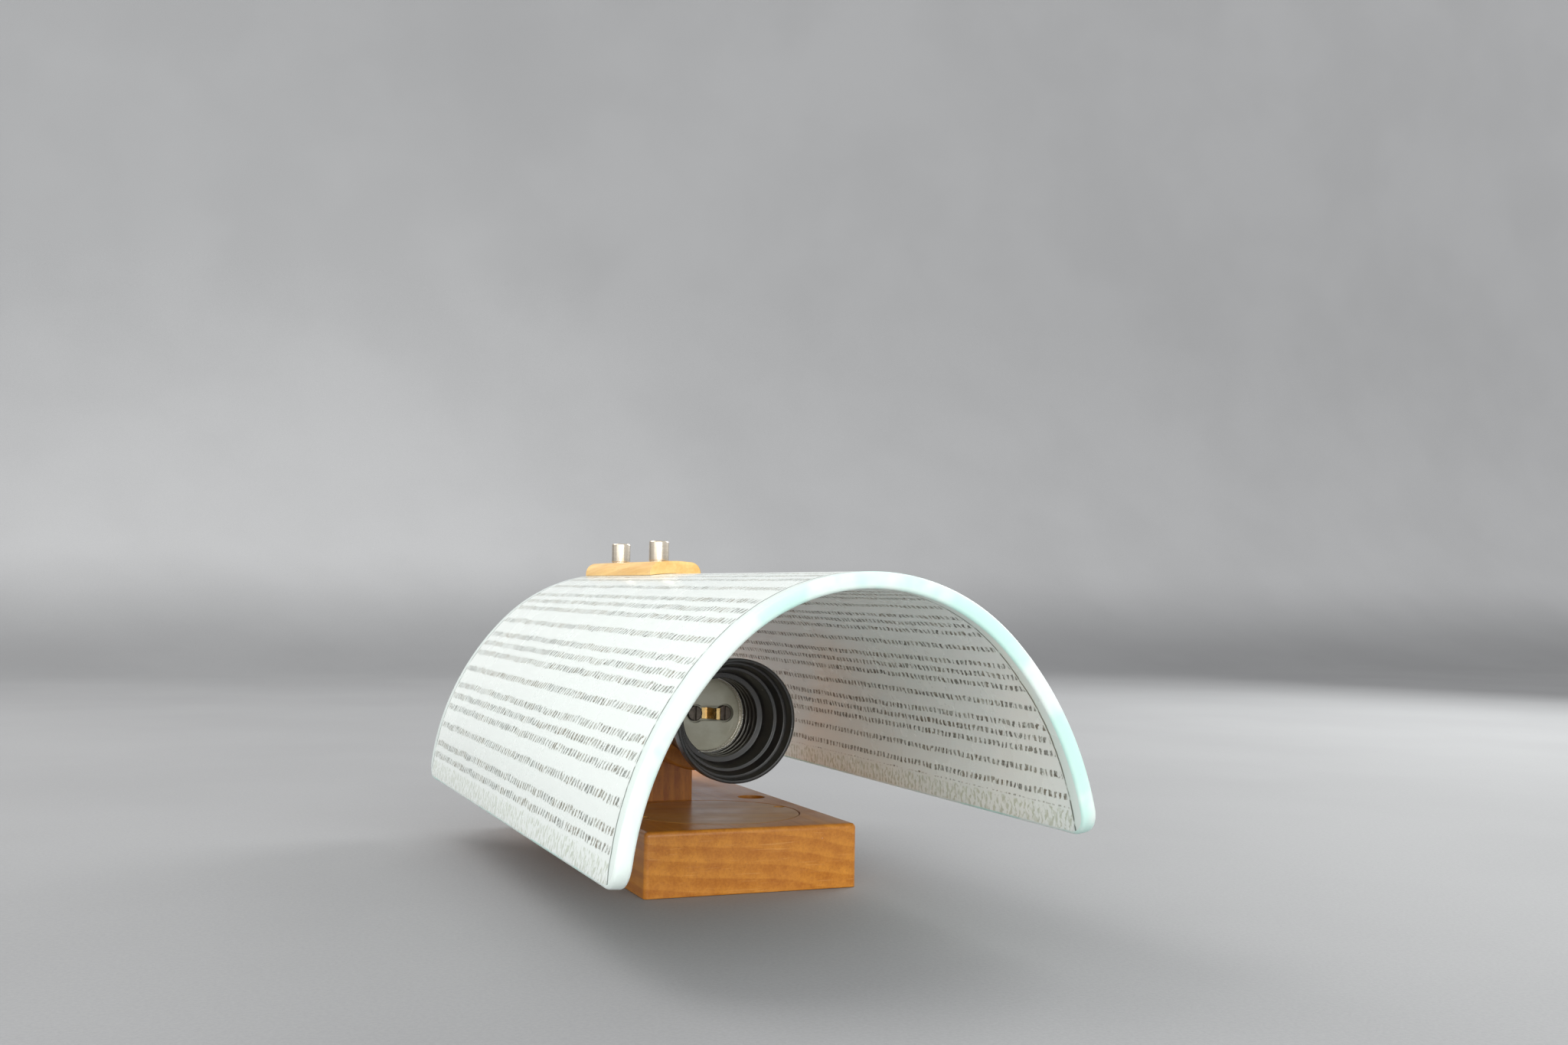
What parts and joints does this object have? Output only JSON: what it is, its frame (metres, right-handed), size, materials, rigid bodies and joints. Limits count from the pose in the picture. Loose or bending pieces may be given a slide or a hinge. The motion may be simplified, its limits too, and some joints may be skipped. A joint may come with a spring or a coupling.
{
  "type": "wall light",
  "caption": "Wall light: a wooden base and post carry an E27 lampholder under an arched, patterned frosted glass shade held by a wooden clamp bar with two nuts.",
  "frame": {"origin": "centre of the base's back face, which lies against the wall", "axes": "+Z away from the wall, through the base to the shade's ridge; +Y along the lamp and shade, from the lampholder's mouth towards the clamped end; +X to the right seen from the mouth"},
  "size_m": [0.1521, 0.285, 0.1243],
  "materials": {
    "oiled_wood": "oiled, straight grain",
    "pale_wood": "oiled pale hardwood",
    "dark_metal": "blackened",
    "steel": "zinc plated",
    "black_rubber": "matt",
    "white_plastic": "moulded",
    "brass": "bare brass",
    "brown_insulation": "extruded",
    "blue_insulation": "extruded",
    "black_bakelite": "moulded Bakelite, satin gloss",
    "grey_porcelain": "grey glaze",
    "bright_metal": "nickel plated",
    "frosted_glass": "frosted, with fine slanted strokes",
    "satin_nickel": "satin, turned"
  },
  "bodies": {
    "lamp": {"base_block": "oiled_wood", "post": "oiled_wood", "collar": "oiled_wood", "clamp_bar": "pale_wood", "collar_dowels": "pale_wood", "post_screws": "steel", "lampholder_screws": "dark_metal", "cable_grommet": "black_rubber", "lower_pad": "black_rubber", "upper_pad": "black_rubber", "terminal_block": "white_plastic", "glass_sleeves": "white_plastic", "terminal_screws": "brass", "contact_foot": "brass", "contact_posts": "brass", "stud_inserts": "brass", "wire_live": "brown_insulation", "wire_neutral": "blue_insulation", "lampholder_shell": "black_bakelite", "porcelain_insert": "grey_porcelain", "thread_ring": "bright_metal", "shade_glass": "frosted_glass", "studs": "steel"},
    "cover": {"cover_disc": "oiled_wood", "cover_screws": "dark_metal"},
    "near_nut_lifting": {"near_washer": "satin_nickel"},
    "near_nut_turning": {"near_nut": "satin_nickel"},
    "far_nut_lifting": {"far_washer": "satin_nickel"},
    "far_nut_turning": {"far_nut": "satin_nickel"},
    "contact": {"contact_leaf": "brass"}
  },
  "joints": [
    {"name": "cover_lift", "type": "slide", "parent": "lamp", "child": "cover", "axis": [0, 0, 1], "range_m": [0, 0.012]},
    {"name": "near_nut_lift", "type": "slide", "parent": "lamp", "child": "near_nut_lifting", "axis": [0, 0, 1], "range_m": [0, 0.004]},
    {"name": "near_nut_turn", "type": "hinge", "parent": "near_nut_lifting", "child": "near_nut_turning", "pos_m": [-0.0065, 0.005, 0.1163], "axis": [0, 0, 1], "range_deg": [0, 1800]},
    {"name": "far_nut_lift", "type": "slide", "parent": "lamp", "child": "far_nut_lifting", "axis": [0, 0, 1], "range_m": [0, 0.004]},
    {"name": "far_nut_turn", "type": "hinge", "parent": "far_nut_lifting", "child": "far_nut_turning", "pos_m": [-0.0065, 0.058, 0.1163], "axis": [0, 0, 1], "range_deg": [0, 1800]},
    {"name": "contact_press", "type": "hinge", "parent": "lamp", "child": "contact", "pos_m": [-0.0046, -0.0508, 0.0595], "axis": [0, 0, 1], "range_deg": [0, 8], "stiffness_Nm_per_rad": 0.07}
  ],
  "couplings": [
    {"joint": "near_nut_turn", "follows": "near_nut_lift", "rad_per_m": 7854},
    {"joint": "far_nut_turn", "follows": "far_nut_lift", "rad_per_m": 7854}
  ]
}
